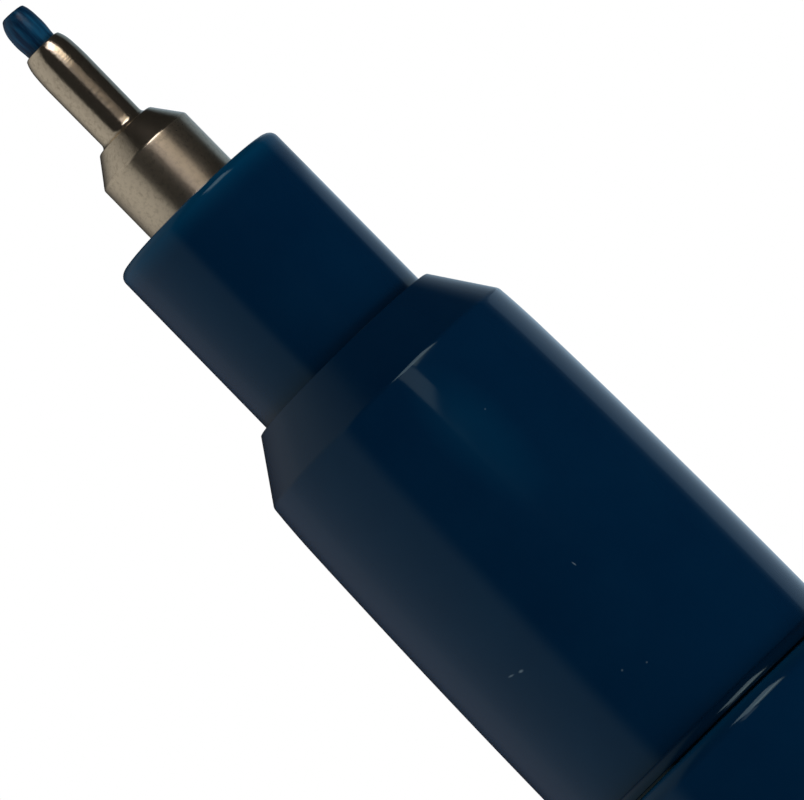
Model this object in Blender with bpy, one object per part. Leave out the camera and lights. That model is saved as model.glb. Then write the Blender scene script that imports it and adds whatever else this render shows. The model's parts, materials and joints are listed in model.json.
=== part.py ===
# Paint marker whose valve opens when the tip is pressed, standing tip up on its posted cap.
# Lengths are in metres. Heights are measured from the closed end of the cap, at the origin.

from math import acos, cos, hypot, pi, sin, sqrt, tan

import bmesh
import bpy

for leftover in list(bpy.data.objects):
    bpy.data.objects.remove(leftover, do_unlink=True)

# Clearances
FACE_GAP = 0.0003  # between two faces that seat on each other
FIT_GAP = 0.00015  # around a push fit
SLIDE_GAP = 0.0001  # around a piece that slides in its guide
FLOW_GAP = 0.0005  # around the valve stem, where the paint passes

# Nib and wick
NIB_RADIUS = 0.000725
NIB_PROUD = 0.00192
NIB_FLAT_RADIUS = 0.00035
NIB_CROWN_LENGTH = 0.0006
NIB_SOCKET_DEPTH = 0.002
WICK_RADIUS = 0.001

# Tip sleeve
SLEEVE_TUBE_WALL = 0.000215
SLEEVE_TUBE_LENGTH = 0.00462
SLEEVE_LIP_DEPTH = 0.0005
SLEEVE_SHOULDER_WIDTH = 0.00026
SLEEVE_CONE_LENGTH = 0.00125
SLEEVE_BASE_WALL = 0.0003
SLEEVE_BASE_LENGTH = 0.00261  # the stretch that stands out of the nose
SLEEVE_RIM_THICKNESS = 0.0005
SLEEVE_EDGE = 0.00008

# Tip holder
HOLDER_WALL = 0.000628
HOLDER_GRIP_LENGTH = 0.0035
HOLDER_FLANGE_THICKNESS = 0.0012
HOLDER_TAIL_WALL = 0.00055
HOLDER_PORT_WIDTH = 0.0008
HOLDER_PORT_HEIGHT = 0.002
HOLDER_PORTS = 3

# Nose
NOSE_STOP_WIDTH = 0.00087
NOSE_WALL = 0.00105
NOSE_LENGTH = 0.00876  # in front of the collar
NOSE_DRAFT = 0.00003
NOSE_DOME = 0.0001
NOSE_FRONT_EDGE = 0.00045
NOSE_GUIDE_LENGTH = 0.0028
NOSE_FLANGE_THICKNESS = 0.0014

# Grip section
COLLAR_STEP_WIDTH = 0.00025
COLLAR_STEP_EDGE = 0.00012
COLLAR_LENGTH = 0.00228
COLLAR_LAND_LENGTH = 0.0032
COLLAR_REAR_EDGE = 0.0006
SECTION_LEDGE_WIDTH = 0.00045
SECTION_WALL = 0.0016
SECTION_LENGTH = 0.01856
SECTION_TAPER = 0.000435
SECTION_CROWN = 0.00009
SECTION_SEAT_WIDTH = 0.000295
FLANGE_WIDTH = 0.000305
FLANGE_THICKNESS = 0.0003
FLANGE_FILLET = 0.00025
PLUG_LENGTH = 0.011
PLUG_CHAMFER = 0.0006
SEAL_GROOVE_DEPTH = 0.001
SEAL_GROOVE_SETBACK = 0.003

# Barrel
BARREL_WALL = 0.001
BARREL_LENGTH = 0.081
BARREL_LIP_EDGE = 0.0008
BARREL_TAIL_EDGE = 0.0005
BARREL_TAPER_LENGTH = 0.003
SPIGOT_LENGTH = 0.016
SPIGOT_WALL = 0.00125
SPIGOT_EDGE = 0.0003

# Tail plug
TAIL_PLUG_DEPTH = 0.0055
TAIL_PLUG_FLANGE_THICKNESS = 0.001
TAIL_PLUG_FLANGE_SETBACK = 0.0002
TAIL_PLUG_WALL = 0.0013
TAIL_PLUG_BEAD = 0.00008
TAIL_PLUG_BEAD_LENGTH = 0.0008
TAIL_PLUG_EDGE = 0.0003

# Valve
TIP_TRAVEL = 0.002
STEM_RADIUS = 0.001
STEM_REACH = 0.001  # how far the stem still stands proud of the seat when the tip is pressed home
SEAT_THICKNESS = 0.0018
SEAL_THICKNESS = 0.0008
SEAL_SETBACK = 0.0003
HEAD_RADIUS = 0.003
HEAD_THICKNESS = 0.0012
PIN_RADIUS = 0.00125
PIN_PROUD = 0.001
CASE_WALL = 0.00085
CASE_FLOOR = 0.001
CASE_SLOT_WIDTH = 0.0022
CASE_SLOT_MARGIN = 0.0016
CASE_SLOTS = 4
VALVE_EDGE = 0.0002

# Valve spring
SPRING_WIRE_RADIUS = 0.00025
SPRING_RADIUS = 0.0021
SPRING_PITCH = 0.0013
SPRING_TURNS = 6
SPRING_POINTS = 10
SPRING_LEAST_GAP = 0.0004

# Mixing balls
BALL_RADIUS = 0.002
BALL_SPACING = 0.0004

# Cap
CAP_LENGTH = 0.046
CAP_END = 0.0013
CAP_FIT = 0.0001
CAP_END_EDGE = 0.0008
CAP_RIM_EDGE = 0.0002
LINER_WALL = 0.00065
LINER_GRIP = 0.0054
LINER_FLOOR = 0.0012
LINER_FLANGE_THICKNESS = 0.001
LINER_LEAD_IN = 0.0003
CLIP_WIDTH = 0.0044
CLIP_THICKNESS = 0.0016
CLIP_OPENING = 0.0012
CLIP_NIP = 0.0004
CLIP_NIP_LENGTH = 0.003
CLIP_ROOT_HEIGHT = 0.004
CLIP_ROOT_LENGTH = 0.006
CLIP_RIM_SETBACK = 0.006
CLIP_BITE = 0.0003
CLIP_EDGE = 0.0007

# Facets
SEGMENTS = 36
SMALL_SEGMENTS = 24
FILLET_STEPS = 3
CROWN_STEPS = 5
RING_POINTS = 8
BALL_SUBDIVISIONS = 3

# Radii, from the nib and the wick outwards
nib_bore = NIB_RADIUS + SLIDE_GAP
sleeve_tube_radius = nib_bore + SLEEVE_TUBE_WALL
sleeve_shoulder_radius = sleeve_tube_radius + SLEEVE_SHOULDER_WIDTH
wick_bore = WICK_RADIUS + FIT_GAP
holder_radius = wick_bore + HOLDER_WALL
holder_tail_radius = wick_bore + HOLDER_TAIL_WALL
sleeve_base_bore = holder_radius + FIT_GAP
sleeve_base_radius = sleeve_base_bore + SLEEVE_BASE_WALL
nose_guide = sleeve_base_radius + SLIDE_GAP
nose_cavity = nose_guide + NOSE_STOP_WIDTH
tip_flange_radius = nose_cavity - FIT_GAP
nose_radius = nose_cavity + NOSE_WALL
nose_front_radius = nose_radius - NOSE_DRAFT
collar_hole = nose_radius + FIT_GAP
collar_step_radius = collar_hole + COLLAR_STEP_WIDTH
section_bore = collar_hole + SECTION_LEDGE_WIDTH
insert_radius = section_bore - FIT_GAP
plug_radius = section_bore + SECTION_WALL
seal_groove = plug_radius - SEAL_GROOVE_DEPTH
section_rear_radius = plug_radius + SECTION_SEAT_WIDTH
section_front_radius = section_rear_radius - SECTION_TAPER
flange_radius = section_rear_radius + FLANGE_WIDTH
barrel_bore = plug_radius + FIT_GAP
barrel_radius = barrel_bore + BARREL_WALL
seal_ring_radius = (barrel_bore - seal_groove) / 2 - SLIDE_GAP
cap_mouth_bore = section_rear_radius + CAP_FIT
cap_deep_bore = section_front_radius + CAP_FIT
spigot_root_radius = cap_mouth_bore - FIT_GAP
spigot_taper = (cap_mouth_bore - cap_deep_bore) * SPIGOT_LENGTH / SECTION_LENGTH
spigot_end_radius = spigot_root_radius - spigot_taper
spigot_bore = spigot_root_radius - SPIGOT_WALL
tail_plug_radius = spigot_bore - FIT_GAP
liner_bore = nose_radius + FIT_GAP
liner_radius = liner_bore + LINER_WALL
seat_bore = STEM_RADIUS + FLOW_GAP
pin_hole = PIN_RADIUS + FIT_GAP
case_bore = insert_radius - CASE_WALL

# Heights, from the cap's closed end up to the nib
shoulder = CAP_LENGTH + FACE_GAP
barrel_mouth = shoulder + BARREL_LENGTH
section_rear = barrel_mouth + FACE_GAP
collar_edge = section_rear + SECTION_LENGTH
collar_step = collar_edge + COLLAR_LENGTH
nose_front = collar_step + NOSE_LENGTH
sleeve_base_top = nose_front + SLEEVE_BASE_LENGTH
sleeve_shoulder = sleeve_base_top + SLEEVE_CONE_LENGTH
sleeve_mouth = sleeve_shoulder + SLEEVE_TUBE_LENGTH
nib_tip = sleeve_mouth + NIB_PROUD

# Heights inside the front end, from the nose down to the valve case
nose_stop = nose_front - NOSE_GUIDE_LENGTH
sleeve_rim_top = nose_stop - FACE_GAP
sleeve_end = sleeve_rim_top - SLEEVE_RIM_THICKNESS
holder_flange_top = sleeve_end - FACE_GAP
holder_flange_bottom = holder_flange_top - HOLDER_FLANGE_THICKNESS
holder_top = holder_flange_top + HOLDER_GRIP_LENGTH
wick_seat = holder_top - NIB_SOCKET_DEPTH
collar_ledge = collar_step - COLLAR_LAND_LENGTH
nose_flange_top = collar_ledge - FACE_GAP
nose_rear = nose_flange_top - NOSE_FLANGE_THICKNESS
seat_top = nose_rear - FACE_GAP
seat_bottom = seat_top - SEAT_THICKNESS
stem_top = seat_top + TIP_TRAVEL + STEM_REACH
holder_end = stem_top + FACE_GAP
seal_top = seat_bottom - FACE_GAP
head_top = seal_top - SEAL_THICKNESS - FIT_GAP
head_bottom = head_top - HEAD_THICKNESS
spring_top = head_bottom - FACE_GAP - SPRING_WIRE_RADIUS
spring_bottom = spring_top - SPRING_TURNS * SPRING_PITCH
case_top = seat_bottom - FACE_GAP
case_floor_top = spring_bottom - SPRING_WIRE_RADIUS - FACE_GAP
case_bottom = case_floor_top - CASE_FLOOR
pin_end = case_bottom - PIN_PROUD
plug_end = section_rear - PLUG_LENGTH

# Heights at the tail and in the cap
spigot_end = shoulder - SPIGOT_LENGTH
tail_plug_top = spigot_end + TAIL_PLUG_DEPTH
tail_plug_seat = spigot_end - FACE_GAP
tail_plug_bottom = tail_plug_seat - TAIL_PLUG_FLANGE_THICKNESS
ball_rest = tail_plug_top + FACE_GAP + BALL_RADIUS
liner_bottom = CAP_END + FACE_GAP
liner_mouth = CAP_LENGTH - (nose_front - barrel_mouth) + LINER_GRIP


def linear(hex_colour):
    channels = [int(hex_colour[at:at + 2], 16) / 255 for at in (1, 3, 5)]
    return [c / 12.92 if c <= 0.04045 else ((c + 0.055) / 1.055) ** 2.4 for c in channels]


def finish(name, hex_colour, roughness, metallic=0.0):
    material = bpy.data.materials.new(name + "_finish")
    material.use_nodes = True
    shader = material.node_tree.nodes["Principled BSDF"]
    shader.inputs["Base Color"].default_value = (*linear(hex_colour), 1.0)
    shader.inputs["Roughness"].default_value = roughness
    shader.inputs["Metallic"].default_value = metallic
    return material


def carrier(name, height=0.0, offset=0.0):
    # An empty on a joint's axis, which the pieces of one body hang on.
    empty = bpy.data.objects.new(name, None)
    empty.location = (offset, 0.0, height)
    empty.empty_display_size = barrel_radius
    bpy.context.collection.objects.link(empty)
    return empty


def rounded(corners):
    # Turns (radius, height, fillet) corners into an outline with an arc at each fillet.
    # A fillet is limited by the shorter of its two edges.
    outline = []
    for at, (x, z, fillet) in enumerate(corners):
        if fillet == 0:
            outline.append((x, z))
            continue
        before = corners[at - 1]
        after = corners[(at + 1) % len(corners)]
        back = (before[0] - x, before[1] - z)
        ahead = (after[0] - x, after[1] - z)
        back_length = hypot(*back)
        ahead_length = hypot(*ahead)
        back = (back[0] / back_length, back[1] / back_length)
        ahead = (ahead[0] / ahead_length, ahead[1] / ahead_length)
        half = acos(back[0] * ahead[0] + back[1] * ahead[1]) / 2
        reach = min(fillet / tan(half), 0.85 * min(back_length, ahead_length))
        radius = reach * tan(half)
        middle = (back[0] + ahead[0], back[1] + ahead[1])
        middle_length = hypot(*middle)
        to_centre = radius / sin(half)
        centre = (x + middle[0] / middle_length * to_centre, z + middle[1] / middle_length * to_centre)
        start = (x + back[0] * reach - centre[0], z + back[1] * reach - centre[1])
        end = (x + ahead[0] * reach - centre[0], z + ahead[1] * reach - centre[1])
        sweep = pi - 2 * half
        for step in range(FILLET_STEPS + 1):
            part = step / FILLET_STEPS
            from_start = sin((1 - part) * sweep) / sin(sweep)
            from_end = sin(part * sweep) / sin(sweep)
            outline.append((centre[0] + start[0] * from_start + end[0] * from_end,
                            centre[1] + start[1] * from_start + end[1] * from_end))
    return outline


def add_object(name, shape, material, parent):
    mesh = bpy.data.meshes.new(name)
    bmesh.ops.recalc_face_normals(shape, faces=shape.faces)
    shape.to_mesh(mesh)
    shape.free()
    mesh.shade_smooth()
    mesh.set_sharp_from_angle(angle=pi / 6)
    mesh.materials.append(material)
    piece = bpy.data.objects.new(name, mesh)
    bpy.context.collection.objects.link(piece)
    piece.parent = parent
    return piece


def turned(name, corners, material, parent, segments=SEGMENTS):
    # Spins an outline about the Z axis. One that starts and ends on the axis is a solid of revolution,
    # and any other is closed into a ring.
    outline = rounded(corners)
    shape = bmesh.new()
    points = [shape.verts.new((x, 0.0, z - parent.location.z)) for x, z in outline]
    edges = [shape.edges.new(pair) for pair in zip(points, points[1:])]
    if outline[0][0] > 0:
        edges.append(shape.edges.new((points[-1], points[0])))
    bmesh.ops.spin(shape, geom=points + edges, cent=(0, 0, 0), axis=(0, 0, 1), angle=2 * pi,
                   steps=segments, use_merge=True)
    bmesh.ops.remove_doubles(shape, verts=shape.verts, dist=1e-7)
    return add_object(name, shape, material, parent)


def guide(name, shape, parent):
    # A shape that only cuts or joins another one.
    mesh = bpy.data.meshes.new(name)
    bmesh.ops.recalc_face_normals(shape, faces=shape.faces)
    shape.to_mesh(mesh)
    shape.free()
    tool = bpy.data.objects.new(name, mesh)
    tool.display_type = 'WIRE'
    tool.hide_render = True
    bpy.context.collection.objects.link(tool)
    tool.parent = parent
    return tool


def combine(piece, tool, operation):
    modifier = piece.modifiers.new(tool.name, 'BOOLEAN')
    modifier.operation = operation
    modifier.object = tool


def radial_slots(name, count, width, inner, outer, bottom, top, parent):
    # Boxes spread around the axis, each from the inner radius out past the outer one.
    shape = bmesh.new()
    for slot in range(count):
        angle = 2 * pi * slot / count
        along = (cos(angle), sin(angle))
        rim = []
        for reach, side in ((inner, -1), (outer, -1), (outer, 1), (inner, 1)):
            x = along[0] * reach - along[1] * side * width / 2
            y = along[1] * reach + along[0] * side * width / 2
            rim.append(shape.verts.new((x, y, bottom - parent.location.z)))
        face = shape.faces.new(rim)
        grown = bmesh.ops.extrude_face_region(shape, geom=[face])["geom"]
        lifted = [item for item in grown if isinstance(item, bmesh.types.BMVert)]
        bmesh.ops.translate(shape, verts=lifted, vec=(0, 0, top - bottom))
    return guide(name, shape, parent)


def make_nib(parent):
    nib_end = wick_seat + FACE_GAP
    turned("nib", [
        (0, nib_tip, 0),
        (NIB_FLAT_RADIUS, nib_tip, 0.0001),
        (NIB_RADIUS, nib_tip - NIB_CROWN_LENGTH, NIB_CROWN_LENGTH),
        (NIB_RADIUS, nib_end, 0),
        (0, nib_end, 0),
    ], finish("nib", "#16384a", 0.45), parent, SMALL_SEGMENTS)


def make_tip_sleeve(parent):
    cone_drop = SLEEVE_BASE_WALL
    lip_inner = (nib_bore + NIB_RADIUS) / 2
    lip_crest = (lip_inner + sleeve_tube_radius) / 2
    turned("tip_sleeve", [
        (lip_inner, sleeve_mouth, 0),
        (lip_crest, sleeve_mouth, 0.0001),
        (sleeve_tube_radius, sleeve_mouth - SLEEVE_LIP_DEPTH, SLEEVE_LIP_DEPTH),
        (sleeve_tube_radius, sleeve_shoulder, 0),
        (sleeve_shoulder_radius, sleeve_shoulder, SLEEVE_EDGE),
        (sleeve_base_radius, sleeve_base_top, SLEEVE_EDGE),
        (sleeve_base_radius, sleeve_rim_top, 0),
        (tip_flange_radius, sleeve_rim_top, 0),
        (tip_flange_radius, sleeve_end, 0),
        (sleeve_base_bore, sleeve_end, 0),
        (sleeve_base_bore, sleeve_base_top - cone_drop, 0),
        (nib_bore, sleeve_shoulder - cone_drop, 0),
        (nib_bore, sleeve_mouth - SLEEVE_LIP_DEPTH, 0),
    ], finish("tip_sleeve", "#a89c8c", 0.28, 1.0), parent, SMALL_SEGMENTS)


def make_tip_holder(parent):
    holder = turned("tip_holder", [
        (nib_bore, holder_top, 0),
        (holder_radius, holder_top, VALVE_EDGE),
        (holder_radius, holder_flange_top, 0),
        (tip_flange_radius, holder_flange_top, 0),
        (tip_flange_radius, holder_flange_bottom, VALVE_EDGE),
        (holder_tail_radius, holder_flange_bottom, 0),
        (holder_tail_radius, holder_end, 0),
        (wick_bore, holder_end, 0),
        (wick_bore, wick_seat, 0),
        (nib_bore, wick_seat, 0),
    ], finish("tip_holder", "#e6e6e0", 0.5), parent, SMALL_SEGMENTS)
    ports = radial_slots("holder_ports", HOLDER_PORTS, HOLDER_PORT_WIDTH, WICK_RADIUS,
                         holder_tail_radius + FLOW_GAP, holder_end - FLOW_GAP,
                         holder_end + HOLDER_PORT_HEIGHT, parent)
    combine(holder, ports, 'DIFFERENCE')


def make_feed_wick(parent):
    wick_top = wick_seat - FACE_GAP
    turned("feed_wick", [
        (0, wick_top, 0),
        (WICK_RADIUS, wick_top, VALVE_EDGE),
        (WICK_RADIUS, holder_end, VALVE_EDGE),
        (0, holder_end, 0),
    ], finish("feed_wick", "#1c3d5c", 0.9), parent, SMALL_SEGMENTS)


def make_nose(parent):
    turned("nose", [
        (nose_guide, nose_front, 0),
        (nose_front_radius, nose_front - NOSE_DOME, NOSE_FRONT_EDGE),
        (nose_radius, collar_step, 0),
        (nose_radius, nose_flange_top, 0),
        (insert_radius, nose_flange_top, 0),
        (insert_radius, nose_rear, 0),
        (nose_cavity, nose_rear, 0),
        (nose_cavity, nose_stop, 0),
        (nose_guide, nose_stop, 0),
    ], finish("nose", "#051f38", 0.3), parent)


def crowned_side():
    # The grip's shallow arc, from its front edge to where it meets the rear flange.
    front = (section_front_radius, collar_edge)
    rear = (section_rear_radius, section_rear + FLANGE_THICKNESS)
    side = []
    for step in range(1, CROWN_STEPS):
        part = step / CROWN_STEPS
        bulge = 4 * part * (1 - part) * SECTION_CROWN
        radius = front[0] + (rear[0] - front[0]) * part + bulge
        side.append((radius, front[1] + (rear[1] - front[1]) * part, 0))
    return side


def make_grip_section(parent):
    groove_top = section_rear - SEAL_GROOVE_SETBACK
    groove_bottom = groove_top - 2 * (seal_ring_radius + SLIDE_GAP)
    turned("grip_section", [
        (collar_hole, collar_step, 0),
        (collar_step_radius, collar_step, COLLAR_STEP_EDGE),
        (section_front_radius, collar_edge, COLLAR_REAR_EDGE),
        *crowned_side(),
        (section_rear_radius, section_rear + FLANGE_THICKNESS, FLANGE_FILLET),
        (flange_radius, section_rear + FLANGE_THICKNESS, 0),
        (flange_radius, section_rear, 0),
        (plug_radius, section_rear, 0),
        (plug_radius, groove_top, 0),
        (seal_groove, groove_top, 0),
        (seal_groove, groove_bottom, 0),
        (plug_radius, groove_bottom, 0),
        (plug_radius, plug_end + PLUG_CHAMFER, 0),
        (plug_radius - PLUG_CHAMFER, plug_end, 0),
        (section_bore, plug_end, 0),
        (section_bore, collar_ledge, 0),
        (collar_hole, collar_ledge, 0),
    ], finish("grip_section", "#051e37", 0.32), parent)


def make_section_seal(parent):
    centre_radius = seal_groove + SLIDE_GAP + seal_ring_radius
    centre_height = section_rear - SEAL_GROOVE_SETBACK - SLIDE_GAP - seal_ring_radius
    ring = []
    for point in range(RING_POINTS):
        angle = 2 * pi * point / RING_POINTS
        ring.append((centre_radius + seal_ring_radius * cos(angle),
                     centre_height + seal_ring_radius * sin(angle), 0))
    turned("section_seal", ring, finish("section_seal", "#141414", 0.7), parent)


def make_valve_seat(parent):
    turned("valve_seat", [
        (seat_bore, seat_top, 0),
        (insert_radius, seat_top, VALVE_EDGE),
        (insert_radius, seat_bottom, VALVE_EDGE),
        (seat_bore, seat_bottom, 0),
    ], finish("valve_seat", "#dcdcd4", 0.5), parent)


def make_valve_case(parent):
    case = turned("valve_case", [
        (case_bore, case_top, 0),
        (insert_radius, case_top, 0),
        (insert_radius, case_bottom, CASE_FLOOR / 2),
        (pin_hole, case_bottom, 0),
        (pin_hole, case_floor_top, 0),
        (case_bore, case_floor_top, 0),
    ], finish("valve_case", "#d6d6ce", 0.5), parent)
    slots = radial_slots("case_slots", CASE_SLOTS, CASE_SLOT_WIDTH, HEAD_RADIUS, insert_radius + FLOW_GAP,
                         case_floor_top + CASE_SLOT_MARGIN, case_top - CASE_SLOT_MARGIN, parent)
    combine(case, slots, 'DIFFERENCE')


def make_valve_rod(parent):
    turned("valve_rod", [
        (0, stem_top, 0),
        (STEM_RADIUS, stem_top, VALVE_EDGE),
        (STEM_RADIUS, head_top, 0),
        (HEAD_RADIUS, head_top, VALVE_EDGE),
        (HEAD_RADIUS, head_bottom, VALVE_EDGE),
        (PIN_RADIUS, head_bottom, 0),
        (PIN_RADIUS, pin_end, VALVE_EDGE),
        (0, pin_end, 0),
    ], finish("valve_rod", "#e2e2da", 0.45), parent, SMALL_SEGMENTS)


def make_valve_seal(parent):
    inner = STEM_RADIUS + SLIDE_GAP
    outer = HEAD_RADIUS - SEAL_SETBACK
    bottom = seal_top - SEAL_THICKNESS
    turned("valve_seal", [
        (inner, seal_top, 0),
        (outer, seal_top, VALVE_EDGE),
        (outer, bottom, VALVE_EDGE),
        (inner, bottom, 0),
    ], finish("valve_seal", "#1a1a1a", 0.75), parent, SMALL_SEGMENTS)


def spring_least_gap(points):
    # The least free distance from a point of the wire to any other at least half a turn along it.
    least = SPRING_PITCH
    for at, start in enumerate(points):
        for other in points[at + SPRING_POINTS // 2:]:
            least = min(least, hypot(*(a - b for a, b in zip(start, other))))
    return least - 2 * SPRING_WIRE_RADIUS


def make_valve_spring(parent):
    points = []
    for step in range(SPRING_TURNS * SPRING_POINTS + 1):
        angle = 2 * pi * step / SPRING_POINTS
        height = spring_bottom + SPRING_PITCH * step / SPRING_POINTS
        points.append((SPRING_RADIUS * cos(angle), SPRING_RADIUS * sin(angle), height - parent.location.z))
    wire = bpy.data.curves.new("valve_spring", 'CURVE')
    wire.dimensions = '3D'
    wire.bevel_depth = SPRING_WIRE_RADIUS
    wire.bevel_resolution = 1
    wire.use_fill_caps = True
    path = wire.splines.new('POLY')
    path.points.add(len(points) - 1)
    for point, place in zip(path.points, points):
        point.co = (*place, 1.0)
    wire.materials.append(finish("valve_spring", "#b8b8b4", 0.3, 1.0))
    spring = bpy.data.objects.new("valve_spring", wire)
    bpy.context.collection.objects.link(spring)
    spring.parent = parent
    gap = spring_least_gap(points)
    print("valve_spring: least gap between its turns %.2f mm, over %.2f mm: %s"
          % (gap * 1000, SPRING_LEAST_GAP * 1000, gap > SPRING_LEAST_GAP))


def make_barrel(parent):
    turned("barrel", [
        (barrel_bore, barrel_mouth, 0),
        (barrel_radius, barrel_mouth, BARREL_LIP_EDGE),
        (barrel_radius, shoulder, BARREL_TAIL_EDGE),
        (spigot_root_radius, shoulder, 0),
        (spigot_end_radius, spigot_end, SPIGOT_EDGE),
        (spigot_bore, spigot_end, 0),
        (spigot_bore, shoulder, 0),
        (barrel_bore, shoulder + BARREL_TAPER_LENGTH, 0),
    ], finish("barrel", "#051e37", 0.3), parent)


def make_tail_plug(parent):
    flange = spigot_end_radius - TAIL_PLUG_FLANGE_SETBACK
    recess = tail_plug_radius - TAIL_PLUG_WALL
    recess_top = tail_plug_top - TAIL_PLUG_WALL
    bead = (spigot_end + tail_plug_top) / 2
    turned("tail_plug", [
        (0, tail_plug_top, 0),
        (tail_plug_radius, tail_plug_top, TAIL_PLUG_EDGE),
        (tail_plug_radius, bead + TAIL_PLUG_BEAD_LENGTH / 2, 0),
        (tail_plug_radius + TAIL_PLUG_BEAD, bead, 0),
        (tail_plug_radius, bead - TAIL_PLUG_BEAD_LENGTH / 2, 0),
        (tail_plug_radius, tail_plug_seat, 0),
        (flange, tail_plug_seat, 0),
        (flange, tail_plug_bottom, TAIL_PLUG_EDGE),
        (recess, tail_plug_bottom, 0),
        (recess, recess_top, 0),
        (0, recess_top, 0),
    ], finish("tail_plug", "#0a2239", 0.4), parent)


def make_mixing_ball(name, parent):
    shape = bmesh.new()
    bmesh.ops.create_icosphere(shape, subdivisions=BALL_SUBDIVISIONS, radius=BALL_RADIUS)
    add_object(name, shape, finish(name, "#b4b4b2", 0.2, 1.0), parent)


def clip_arm(parent):
    # The clip's side outline, as distances from the axis, pushed out to its width.
    side = CLIP_WIDTH / 2
    wall = sqrt(barrel_radius ** 2 - side ** 2) - CLIP_BITE
    inner = barrel_radius + CLIP_OPENING
    outer = inner + CLIP_THICKNESS
    root_top = CLIP_ROOT_HEIGHT + CLIP_ROOT_LENGTH
    end = CAP_LENGTH - CLIP_RIM_SETBACK
    outline = rounded([
        (wall, CLIP_ROOT_HEIGHT, 0),
        (outer, CLIP_ROOT_HEIGHT, CLIP_THICKNESS),
        (outer, end, CLIP_EDGE),
        (inner, end, CLIP_EDGE),
        (barrel_radius + CLIP_NIP, end - CLIP_NIP_LENGTH / 2, CLIP_EDGE),
        (inner, end - CLIP_NIP_LENGTH, 0),
        (inner, root_top, CLIP_EDGE),
        (wall, root_top, 0),
    ])
    shape = bmesh.new()
    rim = [shape.verts.new((-side, -y, z - parent.location.z)) for y, z in outline]
    face = shape.faces.new(rim)
    grown = bmesh.ops.extrude_face_region(shape, geom=[face])["geom"]
    moved = [item for item in grown if isinstance(item, bmesh.types.BMVert)]
    bmesh.ops.translate(shape, verts=moved, vec=(CLIP_WIDTH, 0, 0))
    return guide("clip_arm", shape, parent)


def make_cap_shell(parent):
    cap = turned("cap_shell", [
        (0, 0, 0),
        (barrel_radius, 0, CAP_END_EDGE),
        (barrel_radius, CAP_LENGTH, CAP_RIM_EDGE),
        (cap_mouth_bore, CAP_LENGTH, CAP_RIM_EDGE),
        (cap_deep_bore, CAP_LENGTH - SECTION_LENGTH, 0),
        (cap_deep_bore, CAP_END, CAP_END_EDGE),
        (0, CAP_END, 0),
    ], finish("cap_shell", "#051e37", 0.3), parent)
    combine(cap, clip_arm(parent), 'UNION')


def make_cap_liner(parent):
    flange = cap_deep_bore - CAP_END_EDGE
    turned("cap_liner", [
        (0, liner_bottom, 0),
        (flange, liner_bottom, 0),
        (flange, liner_bottom + LINER_FLANGE_THICKNESS, 0),
        (liner_radius, liner_bottom + LINER_FLANGE_THICKNESS, 0),
        (liner_radius, liner_mouth, 0),
        (liner_bore + LINER_LEAD_IN, liner_mouth, 0),
        (liner_bore, liner_mouth - LINER_LEAD_IN, 0),
        (liner_bore, liner_bottom + LINER_FLOOR, 0),
        (0, liner_bottom + LINER_FLOOR, 0),
    ], finish("cap_liner", "#e0e0da", 0.45), parent)


body = carrier("marker_body")
for make in (make_nose, make_grip_section, make_section_seal, make_valve_seat, make_valve_case,
             make_barrel, make_tail_plug):
    make(body)

tip = carrier("tip_slide", nose_front)
for make in (make_nib, make_tip_sleeve, make_tip_holder, make_feed_wick):
    make(tip)

plunger = carrier("plunger_slide", seat_bottom)
for make in (make_valve_rod, make_valve_seal, make_valve_spring):
    make(plunger)

for number, side in ((1, -1), (2, 1)):
    ball_slide = carrier("ball_slide_%d" % number, ball_rest, side * (BALL_RADIUS + BALL_SPACING / 2))
    make_mixing_ball("mixing_ball_%d" % number, ball_slide)

cap_slide = carrier("cap_slide", CAP_LENGTH)
for make in (make_cap_shell, make_cap_liner):
    make(cap_slide)

ball_stop = pin_end - TIP_TRAVEL - FACE_GAP - BALL_RADIUS
print("length %.2f mm, barrel %.2f mm across" % (nib_tip * 1000, barrel_radius * 2000))
print("tip travel %.2f mm, ball travel %.2f mm" % (TIP_TRAVEL * 1000, (ball_stop - ball_rest) * 1000))
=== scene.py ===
# Looks of the paint marker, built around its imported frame.
# Settings are in millimetres and degrees. Heights run up from the face that the marker stands on,
# and angles round the marker run from its front, -Y, towards +X.
import json
import math

import bmesh
import bpy
from mathutils import Matrix, Vector


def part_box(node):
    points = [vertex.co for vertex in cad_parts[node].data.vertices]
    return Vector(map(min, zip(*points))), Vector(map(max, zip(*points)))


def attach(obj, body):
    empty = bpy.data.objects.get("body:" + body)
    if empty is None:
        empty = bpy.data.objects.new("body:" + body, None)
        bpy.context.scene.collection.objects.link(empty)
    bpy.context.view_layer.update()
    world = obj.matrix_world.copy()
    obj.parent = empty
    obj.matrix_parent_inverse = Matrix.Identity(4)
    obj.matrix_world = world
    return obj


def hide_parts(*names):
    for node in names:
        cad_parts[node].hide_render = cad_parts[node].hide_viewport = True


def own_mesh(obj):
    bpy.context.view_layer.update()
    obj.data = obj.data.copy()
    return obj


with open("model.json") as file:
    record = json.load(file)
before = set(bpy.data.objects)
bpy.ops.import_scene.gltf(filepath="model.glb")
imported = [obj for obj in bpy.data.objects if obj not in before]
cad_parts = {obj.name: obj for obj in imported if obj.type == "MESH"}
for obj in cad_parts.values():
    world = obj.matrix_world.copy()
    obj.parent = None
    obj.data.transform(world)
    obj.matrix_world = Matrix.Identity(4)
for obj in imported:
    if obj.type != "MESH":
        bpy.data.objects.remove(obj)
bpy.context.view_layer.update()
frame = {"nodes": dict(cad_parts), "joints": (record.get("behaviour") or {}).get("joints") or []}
scene = bpy.context.scene
scene.view_settings.view_transform = "Standard"
mm = 0.001
touching = 1e-7  # metres: points nearer than this are one
arcSteps = 6  # flats in a rounded corner
usualNoise = {"From Min": 0.3, "From Max": 0.7}  # where most values of a noise texture lie
print("frame loaded with", len(frame["nodes"]), "nodes")


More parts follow.
